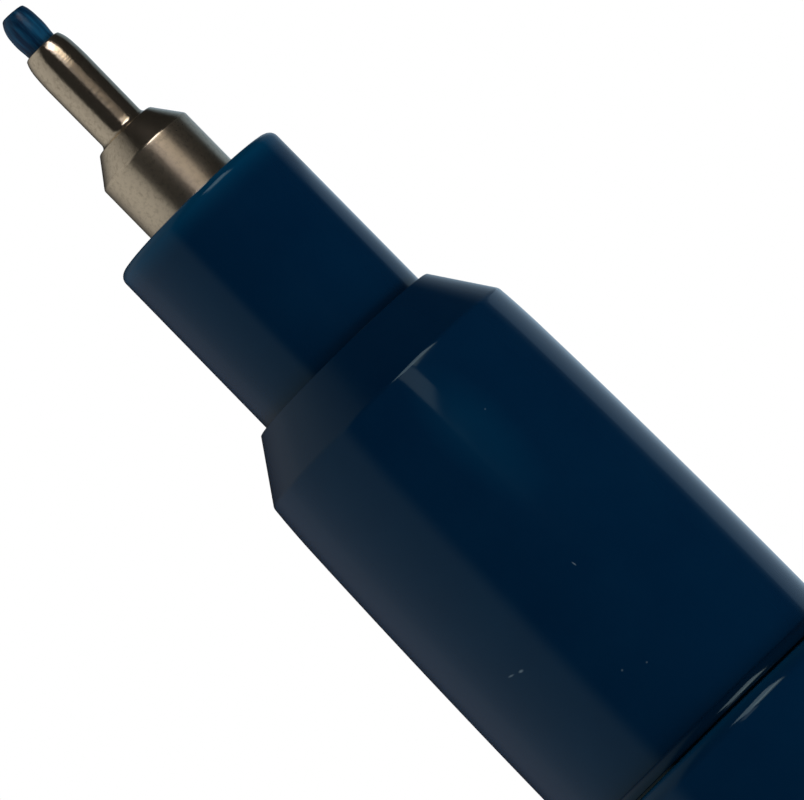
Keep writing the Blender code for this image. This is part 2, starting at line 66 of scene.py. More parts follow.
def hexColour(code):
    channels = [int(code[at:at + 2], 16) / 255 for at in (1, 3, 5)]
    return [c / 12.92 if c <= 0.04045 else ((c + 0.055) / 1.055) ** 2.4 for c in channels] + [1.0]


def addNode(tree, kind, inputs=None, **settings):
    node = tree.nodes.new(kind)
    for name, value in settings.items():
        setattr(node, name, value)
    for name, value in (inputs or {}).items():
        if isinstance(value, bpy.types.NodeSocket):
            tree.links.new(value, node.inputs[name])
        else:
            node.inputs[name].default_value = value
    return node


def nodeSize(node):
    low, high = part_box(node)
    return high.x / mm, low.z / mm, high.z / mm  # radius, bottom, top


def perMetre(size):
    return 1 / (size * mm)  # texture scale whose pattern repeats about every size


def onSide(angle, radius, height=0.0):
    turn = math.radians(angle)
    return Vector((math.sin(turn) * radius, -math.cos(turn) * radius, height))


# Camera, at the photograph's angle
photoView = {
    "frameWidth": 32.16,  # what the picture spans at the marker
    "distance": 500,
    "behindNib": 22.07,  # from the nib's end back to the picture's centre
    "aside": 0.396,  # from the axis to the picture's centre
    "lean": 44.44,  # the marker leans to the left in the picture
    "lookUp": 2.8,
    "sensor": 36,
    "clip": (10, 20000),
}
nibBottom, nibEnd = nodeSize("nib")[1:]


def makeCamera(view):
    lookUp = math.radians(view["lookUp"])
    lean = math.radians(view["lean"])
    forward = Vector((0, math.cos(lookUp), math.sin(lookUp)))
    along = Vector((0, -math.sin(lookUp), math.cos(lookUp)))  # the marker's axis as the camera sees it
    across = Vector((1, 0, 0))
    right = across * math.cos(lean) - along * math.sin(lean)
    up = across * math.sin(lean) + along * math.cos(lean)
    aim = Vector((view["aside"], 0, nibEnd - view["behindNib"])) * mm
    lens = bpy.data.cameras.new("photoCamera")
    lens.sensor_width = view["sensor"]
    lens.lens = view["sensor"] * view["distance"] / view["frameWidth"]
    lens.clip_start, lens.clip_end = (limit * mm for limit in view["clip"])
    camera = bpy.data.objects.new("photoCamera", lens)
    scene.collection.objects.link(camera)
    turn = Matrix((right, up, -forward)).transposed().to_4x4()
    camera.matrix_world = Matrix.Translation(aim - forward * view["distance"] * mm) @ turn
    scene.camera = camera
    return aim


aim = makeCamera(photoView)
print("camera set")

# Lamps: a tilted window in three parts, and a card close by that lights the plastic's right edge, show only
# as gleams. Soft cards light the colours from under the floor, as on a light table
lampSettings = {
    "windowHigh": {"angle": 36.2, "slope": 36.1, "reach": 600, "width": 350, "tall": 240, "roll": 18,
                   "radiance": 2.4, "colour": "#fdf7fb", "gleams": True},
    "windowLow": {"angle": 23.6, "slope": 15.1, "reach": 2400, "width": 526, "tall": 584, "roll": 11,
                  "radiance": 0.76, "colour": "#fff6f6", "gleams": True},
    "windowSide": {"angle": 43.5, "slope": 22.4, "reach": 200, "width": 88.7, "tall": 48.7, "roll": 5,
                   "radiance": 1.6, "colour": "#fff3e4", "gleams": True},
    "edgeCard": {"angle": 152, "slope": -5.4, "reach": 100, "width": 118, "tall": 52, "roll": 0,
                 "radiance": 0.24, "colour": "#c8e6ff", "gleams": True},
    "rightCard": {"angle": 50, "slope": -50, "reach": 1000, "width": 600, "tall": 600, "roll": 0,
                  "radiance": 6.0, "colour": "#ffffff", "gleams": False},
    "leftCard": {"angle": -105, "slope": -50, "reach": 1000, "width": 600, "tall": 600, "roll": 0,
                 "radiance": 4.5, "colour": "#ffffff", "gleams": False},
    "backCard": {"angle": 178, "slope": -30, "reach": 1000, "width": 600, "tall": 600, "roll": 0,
                 "radiance": 3.0, "colour": "#ffffff", "gleams": False},
}


def makeLamp(name, lamp):
    light = bpy.data.lights.new(name, "AREA")
    light.shape = "RECTANGLE"
    light.size = lamp["width"] * mm
    light.size_y = lamp["tall"] * mm
    light.color = hexColour(lamp["colour"])[:3]
    light.energy = lamp["radiance"] * math.pi * light.size * light.size_y
    slope = math.radians(lamp["slope"])
    away = onSide(lamp["angle"], math.cos(slope), math.sin(slope)) * lamp["reach"] * mm
    facing = (-away).to_track_quat("-Z", "Y").to_matrix().to_4x4()
    roll = Matrix.Rotation(math.radians(lamp["roll"]), 4, "Z")
    lightObject = bpy.data.objects.new(name, light)
    lightObject.matrix_world = Matrix.Translation(aim + away) @ facing @ roll
    lightObject.visible_camera = False
    lightObject.visible_glossy = lamp["gleams"]
    lightObject.visible_diffuse = not lamp["gleams"]
    scene.collection.objects.link(lightObject)


for lampName, lamp in lampSettings.items():
    makeLamp(lampName, lamp)

# World: white to the camera. Reflections show a dim room, a pale wall on the left that leans over the marker
# and fades towards the front, a cool white wall behind on the right that fades upwards, and two low windows,
# behind and at the front right, that show when the marker is seen from above. Levels run along depth, from -1
# at the front to 1 at the back
worldSettings = {
    "fill": 0.6, "room": 0.01,
    "walls": [
        {"faces": (-0.79, 0.586, 0.172), "edge": (-0.05, 0.2), "fades": (-1, 0, 0), "fade": (0.0, 0.6),
         "colour": "#fffefb", "levels": [(-0.7, 0.28), (-0.3, 0.35), (0.05, 0.37), (0.45, 0.33),
                                         (0.65, 0.22), (0.94, 0.05), (1.0, 0.03)]},
        {"faces": (1, 0, 0), "edge": (-0.05, 0.2), "fades": (0, 0, -1), "fade": (-0.56, -0.38),
         "colour": "#c8e6ff", "levels": [(0.44, 0.0), (0.62, 0.17), (0.72, 0.22), (0.84, 0.26),
                                         (0.96, 0.46)]},
        {"faces": (0, 1, 0), "edge": (0.75, 0.97), "fades": (0, 0, -1), "fade": (0.05, 0.2),
         "colour": "#ffffff", "levels": [(-1.0, 0.8), (1.0, 0.8)]},
        {"faces": (0.829, -0.559, 0), "edge": (0.91, 0.96), "fades": (0, 0, -1), "fade": (0.2, 0.27),
         "colour": "#ffffff", "levels": [(-1.0, 1.2), (1.0, 1.2)]},
    ],
}


def makeWorld(settings):
    world = bpy.data.worlds.new("paleStudio")
    world.use_nodes = True
    tree = world.node_tree
    direction = addNode(tree, "ShaderNodeTexCoord").outputs["Generated"]
    parts = addNode(tree, "ShaderNodeSeparateXYZ", {"Vector": direction})
    depth = addNode(tree, "ShaderNodeMapRange", {
        "Value": parts.outputs["Y"], "From Min": -1.0, "From Max": 1.0})
    seen = (settings["room"],) * 3
    for wall in settings["walls"]:
        side = addNode(tree, "ShaderNodeVectorMath", {0: direction, 1: wall["faces"]},
                       operation="DOT_PRODUCT")
        edge = addNode(tree, "ShaderNodeMapRange", {
            "Value": side.outputs["Value"], "From Min": wall["edge"][0], "From Max": wall["edge"][1]},
            interpolation_type="SMOOTHSTEP")
        ramp = addNode(tree, "ShaderNodeValToRGB", {"Fac": depth.outputs["Result"]})
        stops = ramp.color_ramp.elements
        for number, (place, level) in enumerate(wall["levels"]):
            stop = stops[number] if number < 2 else stops.new(1.0)
            stop.position = (place + 1) / 2
            stop.color = (level, level, level, 1)
        away = addNode(tree, "ShaderNodeVectorMath", {0: direction, 1: wall["fades"]},
                       operation="DOT_PRODUCT")
        fade = addNode(tree, "ShaderNodeMapRange", {
            "Value": away.outputs["Value"], "From Min": wall["fade"][0], "From Max": wall["fade"][1]})
        level = addNode(tree, "ShaderNodeMath", {0: edge.outputs["Result"], 1: ramp.outputs["Color"]},
                        operation="MULTIPLY")
        level = addNode(tree, "ShaderNodeMath", {0: level.outputs[0], 1: fade.outputs["Result"]},
                        operation="MULTIPLY")
        glow = addNode(tree, "ShaderNodeVectorMath", {
            0: hexColour(wall["colour"])[:3], "Scale": level.outputs[0]}, operation="SCALE")
        total = addNode(tree, "ShaderNodeVectorMath", {0: glow.outputs["Vector"], 1: seen},
                        operation="ADD")
        seen = total.outputs["Vector"]
    path = addNode(tree, "ShaderNodeLightPath")
    mirrored = addNode(tree, "ShaderNodeMath", {
        0: path.outputs["Is Glossy Ray"], 1: path.outputs["Is Transmission Ray"]}, operation="MAXIMUM")
    fill = (settings["fill"],) * 3 + (1,)
    lit = addNode(tree, "ShaderNodeMix", {
        "Factor": mirrored.outputs[0], "A": fill, "B": seen}, data_type="RGBA")
    shown = addNode(tree, "ShaderNodeMix", {
        "Factor": path.outputs["Is Camera Ray"], "A": lit.outputs["Result"], "B": (1, 1, 1, 1)},
        data_type="RGBA")
    tree.links.new(shown.outputs["Result"], tree.nodes["Background"].inputs["Color"])
    scene.world = world


makeWorld(worldSettings)
print("lamps and world set")


# Materials
def startMaterial(name):
    material = bpy.data.materials.new(name)
    material.use_nodes = True
    tree = material.node_tree
    tree.nodes.clear()
    coords = addNode(tree, "ShaderNodeTexCoord").outputs["Object"]
    return material, tree, coords


def endMaterial(tree, shader):
    addNode(tree, "ShaderNodeOutputMaterial", {"Surface": shader.outputs[0]})


# Polypropylene with navy masterbatch, moulded in a polished tool: deep even colour under a clear gloss, faint
# mould flow, and the dust and small scuffs of use. Painted light: a paler glow at the thin edges, painted
# shade in the seam by the barrel, and a finger mark painted as a haze of reflected light
navySettings = {
    "colour": "#00172f", "flowColour": "#001f38", "flow": 4.0, "ior": 1.4, "glossTint": "#d4fbff",
    "roughness": 0.08, "roughnessSpread": 0.04, "waviness": 5.0, "wavinessHeight": 0.003,
    "dust": "#5b6c78", "speckSpacing": 2.2, "speckSize": 0.05, "speckCore": 0.4, "speckStrength": 0.5,
    "speckless": 0.85,  # share of the places where a speck could lie that have none
    # colour, heights from and to which it grows, and strength of each painted edge glow and of the
    #     # painted shade in the seam
    "edges": [("#003a58", 155.6, 157.07, 1.0), ("#003a58", 126.8, 127.38, 0.5),
              # painted shade in the seam: darkens the grip over its last 1.35 mm before the barrel
              ("#00060d", 128.8, 127.45, 0.65)],
    "edgeGrowth": 2.0, "edgeMargin": 0.03,
    # colour, height, angle, width, length, tilt and strength of each scuff, and of a finger mark painted as a
    #     # haze of reflected window light
    "marks": [("#5b6c78", 134.3, -34.1, 0.3, 0.14, 14, 0.75), ("#5b6c78", 134.45, -38.5, 0.4, 0.1, 14, 0.6),
              ("#5b6c78", 135.84, 6.2, 0.28, 0.07, 80, 0.7), ("#5b6c78", 131.51, -7.4, 0.13, 0.12, 0, 0.35),
              ("#5b6c78", 131.05, 0.4, 0.12, 0.1, 0, 0.35), ("#5b6c78", 142.68, 22.6, 0.12, 0.1, 0, 0.3),
              # a finger mark painted as a bluish haze of reflected window light
              ("#00344f", 142.3, 14.4, 3.4, 8.0, 0, 0.24)],
    "markDepth": 0.4, "markThickness": 3.0, "markCore": 0.3,
}


def navyPolypropyleneMoulded(settings):
    material, tree, coords = startMaterial("navyPolypropyleneMoulded")
    flow = addNode(tree, "ShaderNodeTexNoise", {
        "Vector": coords, "Scale": perMetre(settings["flow"]), "Detail": 4.0, "Roughness": 0.6})
    polish = addNode(tree, "ShaderNodeMapRange", {
        "Value": flow.outputs["Fac"], **usualNoise, "To Min": settings["roughness"],
        "To Max": settings["roughness"] + settings["roughnessSpread"]})
    colour = addNode(tree, "ShaderNodeMix", {
        "Factor": flow.outputs["Fac"], "A": hexColour(settings["colour"]),
        "B": hexColour(settings["flowColour"])}, data_type="RGBA")
    height = addNode(tree, "ShaderNodeSeparateXYZ", {"Vector": coords}).outputs["Z"]
    # painted light by height: a pale glow painted at the thin nose front and flange edge, and painted shade
    # in the seam
    for paintedLightColour, start, end, strength in settings["edges"]:
        near = addNode(tree, "ShaderNodeMapRange", {
            "Value": height, "From Min": start * mm, "From Max": end * mm})
        growing = addNode(tree, "ShaderNodeMath", {0: near.outputs["Result"], 1: settings["edgeGrowth"]},
                          operation="POWER")
        reach = abs(end - start) / 2 + settings["edgeMargin"]
        zone = addNode(tree, "ShaderNodeMath", {0: height, 1: (start + end) / 2 * mm, 2: reach * mm},
                       operation="COMPARE")
        share = addNode(tree, "ShaderNodeMath", {0: zone.outputs[0], 1: strength}, operation="MULTIPLY")
        share = addNode(tree, "ShaderNodeMath", {0: growing.outputs[0], 1: share.outputs[0]},
                        operation="MULTIPLY")
        colour = addNode(tree, "ShaderNodeMix", {
            "Factor": share.outputs[0], "A": colour.outputs["Result"], "B": hexColour(paintedLightColour)},
            data_type="RGBA")
    specks = addNode(tree, "ShaderNodeTexVoronoi", {
        "Vector": coords, "Scale": perMetre(settings["speckSpacing"])})
    speckShare = settings["speckSize"] / settings["speckSpacing"]
    near = addNode(tree, "ShaderNodeMapRange", {
        "Value": specks.outputs["Distance"], "From Min": speckShare * settings["speckCore"],
        "From Max": speckShare, "To Min": settings["speckStrength"], "To Max": 0.0})
    chosen = addNode(tree, "ShaderNodeSeparateColor", {"Color": specks.outputs["Color"]})
    some = addNode(tree, "ShaderNodeMath", {0: chosen.outputs["Red"], 1: settings["speckless"]},
                   operation="GREATER_THAN")
    specked = addNode(tree, "ShaderNodeMath", {0: near.outputs["Result"], 1: some.outputs[0]},
                      operation="MULTIPLY")
    colour = addNode(tree, "ShaderNodeMix", {
        "Factor": specked.outputs[0], "A": colour.outputs["Result"], "B": hexColour(settings["dust"])},
        data_type="RGBA")
    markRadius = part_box("grip_section")[1].x / mm - settings["markDepth"]
    for markColour, rise, angle, width, length, tilt, strength in settings["marks"]:
        extents = Vector((width, settings["markThickness"], length))
        place = addNode(tree, "ShaderNodeMapping", {
            "Vector": coords, "Location": onSide(angle, markRadius, rise) * mm,
            "Rotation": (0, math.radians(tilt), math.radians(angle)), "Scale": extents / 2 * mm},
            vector_type="TEXTURE")
        away = addNode(tree, "ShaderNodeVectorMath", {0: place.outputs["Vector"]}, operation="LENGTH")
        share = addNode(tree, "ShaderNodeMapRange", {
            "Value": away.outputs["Value"], "From Min": settings["markCore"], "From Max": 1.0,
            "To Min": strength, "To Max": 0.0})
        colour = addNode(tree, "ShaderNodeMix", {
            "Factor": share.outputs["Result"], "A": colour.outputs["Result"], "B": hexColour(markColour)},
            data_type="RGBA")
    waves = addNode(tree, "ShaderNodeTexNoise", {
        "Vector": coords, "Scale": perMetre(settings["waviness"]), "Detail": 1.0})
    bump = addNode(tree, "ShaderNodeBump", {
        "Height": waves.outputs["Fac"], "Strength": 1.0, "Distance": settings["wavinessHeight"] * mm})
    shader = addNode(tree, "ShaderNodeBsdfPrincipled", {
        "Base Color": colour.outputs["Result"], "Roughness": polish.outputs["Result"],
        "IOR": settings["ior"], "Specular Tint": hexColour(settings["glossTint"]),
        "Normal": bump.outputs["Normal"]})
    endMaterial(tree, shader)
    return material


# Brass turned on an automatic lathe and nickel plated: warm grey metal whose fine tool rings smear what it
# reflects along the sleeve, smoother from the cone up, with faint pits and dull spots
brassSettings = {
    "colour": "#e8d9c1", "tarnish": "#a3957f", "stain": 0.2, "stainFrom": 0.48, "stainFull": 0.74,
    "stainStrength": 0.55, "roughness": 0.25, "tipRoughness": 0.14, "coneFoot": 159.84, "footBlend": 0.03,
    "roughnessSpread": 0.08, "smear": 0.5, "ringPitch": 0.09, "ringLength": 1.8, "ringHeight": 0.0017,
    "pit": 0.11, "pitDepth": 0.003,
}


def turnedNickelPlatedBrass(settings):
    material, tree, coords = startMaterial("turnedNickelPlatedBrass")
    stretch = settings["ringPitch"] / settings["ringLength"]
    flat = addNode(tree, "ShaderNodeMapping", {"Vector": coords, "Scale": (stretch, stretch, 1.0)})
    rings = addNode(tree, "ShaderNodeTexNoise", {
        "Vector": flat.outputs["Vector"], "Scale": perMetre(settings["ringPitch"]), "Detail": 2.0,
        "Roughness": 0.6})
    stain = addNode(tree, "ShaderNodeTexNoise", {
        "Vector": coords, "Scale": perMetre(settings["stain"]), "Detail": 5.0, "Roughness": 0.65})
    stained = addNode(tree, "ShaderNodeMapRange", {
        "Value": stain.outputs["Fac"], "From Min": settings["stainFrom"], "From Max": settings["stainFull"],
        "To Min": 0.0, "To Max": settings["stainStrength"]})
    colour = addNode(tree, "ShaderNodeMix", {
        "Factor": stained.outputs["Result"], "A": hexColour(settings["colour"]),
        "B": hexColour(settings["tarnish"])}, data_type="RGBA")
    height = addNode(tree, "ShaderNodeSeparateXYZ", {"Vector": coords}).outputs["Z"]
    worn = addNode(tree, "ShaderNodeMapRange", {
        "Value": height, "From Min": (settings["coneFoot"] - settings["footBlend"]) * mm,
        "From Max": (settings["coneFoot"] + settings["footBlend"]) * mm,
        "To Min": settings["roughness"], "To Max": settings["tipRoughness"]})
    polish = addNode(tree, "ShaderNodeMath", {
        0: stain.outputs["Fac"], 1: settings["roughnessSpread"], 2: worn.outputs["Result"]},
        operation="MULTIPLY_ADD")
    bump = addNode(tree, "ShaderNodeBump", {
        "Height": rings.outputs["Fac"], "Strength": 1.0, "Distance": settings["ringHeight"] * mm})
    pits = addNode(tree, "ShaderNodeTexNoise", {
        "Vector": coords, "Scale": perMetre(settings["pit"]), "Detail": 1.0})
    bump = addNode(tree, "ShaderNodeBump", {
        "Height": pits.outputs["Fac"], "Strength": 1.0, "Distance": settings["pitDepth"] * mm,
        "Normal": bump.outputs["Normal"]})
    along = addNode(tree, "ShaderNodeVectorTransform", {"Vector": (0, 0, 1)}, vector_type="VECTOR",
                    convert_from="OBJECT", convert_to="WORLD")
    shader = addNode(tree, "ShaderNodeBsdfPrincipled", {
        "Base Color": colour.outputs["Result"], "Metallic": 1.0, "Roughness": polish.outputs[0],
        "Anisotropic": settings["smear"], "Tangent": along.outputs["Vector"],
        "Normal": bump.outputs["Normal"]})
    endMaterial(tree, shader)
    return material


# Acrylic fibres bonded into a rod and soaked with paint: a wet navy film over long fine fibres
nibSettings = {
    "colour": "#021f38", "dry": "#0b3f5c", "dryFrom": 0.36, "dryFull": 0.66, "turn": -14, "ior": 1.3,
    "roughness": 0.24, "fibre": 0.2, "fibreLength": 1.6, "fibreHeight": 0.004,
}


def paintedAcrylicFibre(settings):
    material, tree, coords = startMaterial("paintedAcrylicFibre")
    stretched = addNode(tree, "ShaderNodeMapping", {
        "Vector": coords, "Rotation": (0, 0, math.radians(settings["turn"])),
        "Scale": (1.0, 1.0, settings["fibre"] / settings["fibreLength"])})
    fibres = addNode(tree, "ShaderNodeTexNoise", {
        "Vector": stretched.outputs["Vector"], "Scale": perMetre(settings["fibre"]), "Detail": 2.0})
    worn = addNode(tree, "ShaderNodeMapRange", {
        "Value": fibres.outputs["Fac"], "From Min": settings["dryFrom"], "From Max": settings["dryFull"]})
    colour = addNode(tree, "ShaderNodeMix", {
        "Factor": worn.outputs["Result"], "A": hexColour(settings["colour"]),
        "B": hexColour(settings["dry"])}, data_type="RGBA")
    bump = addNode(tree, "ShaderNodeBump", {
        "Height": fibres.outputs["Fac"], "Strength": 1.0, "Distance": settings["fibreHeight"] * mm})
    shader = addNode(tree, "ShaderNodeBsdfPrincipled", {
        "Base Color": colour.outputs["Result"], "Roughness": settings["roughness"], "IOR": settings["ior"],
        "Normal": bump.outputs["Normal"]})
    endMaterial(tree, shader)
    return material


# The parts inside share one build: a mottled colour, uneven polish and a fine relief. Natural polypropylene
# is milky, nitrile rubber dull and black, drawn steel wire has fine die lines, polished balls a few rub
# marks, and the wick is a rod of soaked polyester fibre
insideSettings = {
    "naturalPolypropyleneMoulded": {
        "colour": "#dedcd4", "mottle": "#cbc9c0", "metallic": 0.0, "roughness": (0.32, 0.45),
        "grain": (2.0, 2.0, 2.0), "relief": 0.002, "subsurface": 0.25},
    "nitrileRubberMoulded": {
        "colour": "#161617", "mottle": "#222221", "metallic": 0.0, "roughness": (0.62, 0.8),
        "grain": (0.15, 0.15, 0.15), "relief": 0.004, "subsurface": 0.0},
    "drawnSpringSteel": {
        "colour": "#bdbcb8", "mottle": "#8d8c88", "metallic": 1.0, "roughness": (0.22, 0.36),
        "grain": (0.6, 0.6, 0.06), "relief": 0.001, "subsurface": 0.0},
    "polishedBallSteel": {
        "colour": "#b9b9b7", "mottle": "#a3a4a4", "metallic": 1.0, "roughness": (0.06, 0.16),
        "grain": (0.5, 0.5, 0.5), "relief": 0.0003, "subsurface": 0.0},
    "soakedPolyesterFibre": {
        "colour": "#0c2b45", "mottle": "#2d4d63", "metallic": 0.0, "roughness": (0.5, 0.7),
        "grain": (0.08, 0.08, 1.6), "relief": 0.01, "subsurface": 0.0},
}


def insideMaterial(name, settings):
    material, tree, coords = startMaterial(name)
    stretched = addNode(tree, "ShaderNodeMapping", {
        "Vector": coords, "Scale": [perMetre(size) for size in settings["grain"]]})
    grain = addNode(tree, "ShaderNodeTexNoise", {
        "Vector": stretched.outputs["Vector"], "Scale": 1.0, "Detail": 3.0})
    colour = addNode(tree, "ShaderNodeMix", {
        "Factor": grain.outputs["Fac"], "A": hexColour(settings["colour"]),
        "B": hexColour(settings["mottle"])}, data_type="RGBA")
    polish = addNode(tree, "ShaderNodeMapRange", {
        "Value": grain.outputs["Fac"], **usualNoise, "To Min": settings["roughness"][0],
        "To Max": settings["roughness"][1]})
    bump = addNode(tree, "ShaderNodeBump", {
        "Height": grain.outputs["Fac"], "Strength": 1.0, "Distance": settings["relief"] * mm})
    shader = addNode(tree, "ShaderNodeBsdfPrincipled", {
        "Base Color": colour.outputs["Result"], "Metallic": settings["metallic"],
        "Roughness": polish.outputs["Result"], "Subsurface Weight": settings["subsurface"],
        "Subsurface Scale": 0.5 * mm, "Normal": bump.outputs["Normal"]})
    endMaterial(tree, shader)
    return material


navy = navyPolypropyleneMoulded(navySettings)
brass = turnedNickelPlatedBrass(brassSettings)
fibre = paintedAcrylicFibre(nibSettings)
inside = {name: insideMaterial(name, settings) for name, settings in insideSettings.items()}
shownNodes = {  # CAD nodes whose shape is right already
    "naturalPolypropyleneMoulded": ("tip_holder", "valve_seat", "valve_case", "valve_rod", "cap_liner"),
    "nitrileRubberMoulded": ("valve_seal", "section_seal"),
    "polishedBallSteel": ("mixing_ball_1", "mixing_ball_2"),
    "soakedPolyesterFibre": ("feed_wick",),
}
for materialName, nodeNames in shownNodes.items():
    for nodeName in nodeNames:
        frame["nodes"][nodeName].material_slots[0].material = inside[materialName]
frame["nodes"]["tail_plug"].material_slots[0].material = navy
print("materials made")


# Shapes
def finishMesh(bm, name, material, sharpAngle=40):
    bmesh.ops.remove_doubles(bm, verts=bm.verts, dist=touching)
    bmesh.ops.recalc_face_normals(bm, faces=bm.faces)
    mesh = bpy.data.meshes.new(name)
    bm.to_mesh(mesh)
    bm.free()
    mesh.shade_smooth()
    mesh.set_sharp_from_angle(angle=math.radians(sharpAngle))
    mesh.materials.append(material)
    piece = bpy.data.objects.new(name, mesh)
    scene.collection.objects.link(piece)
    shading = piece.modifiers.new("evenShading", "WEIGHTED_NORMAL")
    shading.keep_sharp = True
    return piece


def drawOutline(profile, closed):
    # corners are (distance from the axis, height, rounding)
    bm = bmesh.new()
    corners = [bm.verts.new((out * mm, 0, height * mm)) for out, height, rounding in profile]
    pairs = list(zip(corners, corners[1:]))
    if closed:
        pairs.append((corners[-1], corners[0]))
    for pair in pairs:
        bm.edges.new(pair)
    for corner, (out, height, rounding) in zip(corners, profile):
        if rounding:
            bmesh.ops.bevel(bm, geom=[corner], offset=rounding * mm, offset_type="OFFSET", segments=arcSteps,
                            profile=0.5, affect="VERTICES", material=-1)
    return bm


def lathe(profile, steps=192):
    bm = drawOutline(profile, profile[0][0] > 0)  # an outline that leaves the axis closes into a ring
    bmesh.ops.spin(bm, geom=bm.verts[:] + bm.edges[:], cent=(0, 0, 0), axis=(0, 0, 1), dvec=(0, 0, 0),
                   angle=2 * math.pi, steps=steps, use_merge=True)
    return bm


def standFor(piece, body, slot, *nodes):
    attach(piece, body)
    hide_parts(*nodes)
    return piece


# Nib: a fibre rod, its end worn blunt and a little lopsided
nibShape = {
    "flat": 0.52, "flatRound": 0.08, "crown": 0.645, "crownDrop": 0.25, "side": 0.722, "sideDrop": 0.56,
    "belly": 0.75, "bellyDrop": 1.0, "bellyLength": 0.25, "waist": 0.7, "waistDrop": 1.72, "soft": 0.1,
    "softer": 0.15, "heelRound": 0.05, "wearDepth": 0.9, "wearShift": 0.09, "wearTilt": 4, "sides": 96,
}


def makeNib(shape):
    bm = lathe([
        (0, nibEnd, 0),
        (shape["flat"], nibEnd, shape["flatRound"]),
        (shape["crown"], nibEnd - shape["crownDrop"], shape["soft"]),
        (shape["side"], nibEnd - shape["sideDrop"], shape["softer"]),
        (shape["belly"], nibEnd - shape["bellyDrop"], shape["soft"]),
        (shape["belly"], nibEnd - shape["bellyDrop"] - shape["bellyLength"], shape["soft"]),
        (shape["waist"], nibEnd - shape["waistDrop"], shape["softer"]),
        (shape["waist"], nibBottom, shape["heelRound"]),
        (0, nibBottom, 0),
    ], shape["sides"])
    slant = math.tan(math.radians(shape["wearTilt"]))
    for vert in bm.verts:
        worn = max(0, 1 - (nibEnd - vert.co.z / mm) / shape["wearDepth"])
        vert.co.z -= (vert.co.x + shape["flat"] * mm) * slant * worn
        vert.co.x += shape["wearShift"] * mm * worn ** 2
    return standFor(finishMesh(bm, "fibreNib", fibre), "tip", "acrylic_fibre_nib", "nib")


# Tip sleeve: rolled lip, tube, shoulder, cone and base cylinder. The extra rings on tube and base keep their
# shading straight between rounded ends
sleeveShape = {
    "forward": 0.08, "lipInner": 0.755, "innerRound": 0.03, "lip": 0.86, "lipRound": 0.07, "curl": 0.965,
    "curlDepth": 0.25, "rollEnd": 1.025, "rollDepth": 0.55, "rollRound": 0.12, "tube": 1.07,
    "tubeStart": 1.25, "tubeRound": 0.3, "tubeRings": (0.15, 0.85), "tubeEnd": 1.054, "tubeLength": 4.75,
    "fillet": 0.24, "shoulder": 1.4, "edge": 0.06, "coneLength": 1.16, "base": 2.257, "baseRing": 0.2,
    "bore": 0.825, "baseBore": 1.928, "rim": 0.5, "rimRound": 0.05,
}


def makeSleeve(shape):
    rimRadius, bottom, mouth = nodeSize("tip_sleeve")
    mouth += shape["forward"]
    tubeTop = mouth - shape["tubeStart"]
    shoulderHeight = mouth - shape["tubeLength"]
    baseTop = shoulderHeight - shape["coneLength"]
    wall = shape["base"] - shape["baseBore"]
    tubeRings = [(shape["tube"] + (shape["tubeEnd"] - shape["tube"]) * part,
                  tubeTop + (shoulderHeight - tubeTop) * part, 0) for part in shape["tubeRings"]]
    bm = lathe([
        (shape["lipInner"], mouth, shape["innerRound"]),
        (shape["lip"], mouth, shape["lipRound"]),
        (shape["curl"], mouth - shape["curlDepth"], shape["rollRound"]),
        (shape["rollEnd"], mouth - shape["rollDepth"], shape["rollRound"]),
        (shape["tube"], tubeTop, shape["tubeRound"]),
        *tubeRings,
        (shape["tubeEnd"], shoulderHeight, shape["fillet"]),
        (shape["shoulder"], shoulderHeight, shape["edge"]),
        (shape["base"], baseTop, shape["edge"]),
        (shape["base"], baseTop - shape["baseRing"], 0),
        (shape["base"], bottom + shape["rim"], 0),
        (rimRadius, bottom + shape["rim"], shape["rimRound"]),
        (rimRadius, bottom, shape["rimRound"]),
        (shape["baseBore"], bottom, 0),
        (shape["baseBore"], baseTop - wall, 0),
        (shape["bore"], shoulderHeight - wall, 0),
        (shape["bore"], mouth - shape["rollDepth"], 0),
    ])
    return standFor(finishMesh(bm, "turnedSleeve", brass), "tip", "plated_brass", "tip_sleeve")


# Nose: moulded guide for the sleeve, with a rounded front edge
noseShape = {
    "radius": 4.272, "draft": 0.03, "setback": 0.13, "dome": 0.1, "frontRound": 0.37, "guide": 2.3,
    "guideRound": 0.06, "guideLength": 2.8, "cavity": 3.198, "flange": 1.4, "edge": 0.05,
}


def makeNose(shape):
    flangeRadius, bottom, front = nodeSize("nose")
    flangeTop = bottom + shape["flange"]
    guideEnd = front - shape["guideLength"]
    front -= shape["setback"]
    bm = lathe([
        (shape["guide"], front, shape["guideRound"]),
        (shape["radius"] - shape["draft"], front - shape["dome"], shape["frontRound"]),
        (shape["radius"], flangeTop, shape["edge"]),
        (flangeRadius, flangeTop, shape["edge"]),
        (flangeRadius, bottom, shape["edge"]),
        (shape["cavity"], bottom, 0),
        (shape["cavity"], guideEnd, 0),
        (shape["guide"], guideEnd, 0),
    ])
    return standFor(finishMesh(bm, "mouldedNose", navy), "marker_body", "navy_polypropylene", "nose")


# Grip section: collar cone, crowned grip that swells behind the collar, flared rear edge, and the plug inside
# the barrel
gripShape = {
    "hole": 4.398, "step": 4.648, "stepRound": 0.03, "front": 6.3, "collar": 2.43, "collarRound": 0.09,
    "rear": 6.748, "crown": 0.09, "ease": 0.06, "easeLength": 2.3, "crownSteps": 60, "flange": 0.48,
    "flangeEdge": 0.31, "flangeRound": 0.27, "flangeBack": 0.04, "plug": 6.448, "plugLength": 10.88,
    "plugRound": 0.5, "bore": 4.848, "ledge": 3.2, "groove": 5.448, "sealRoom": 0.1,
}


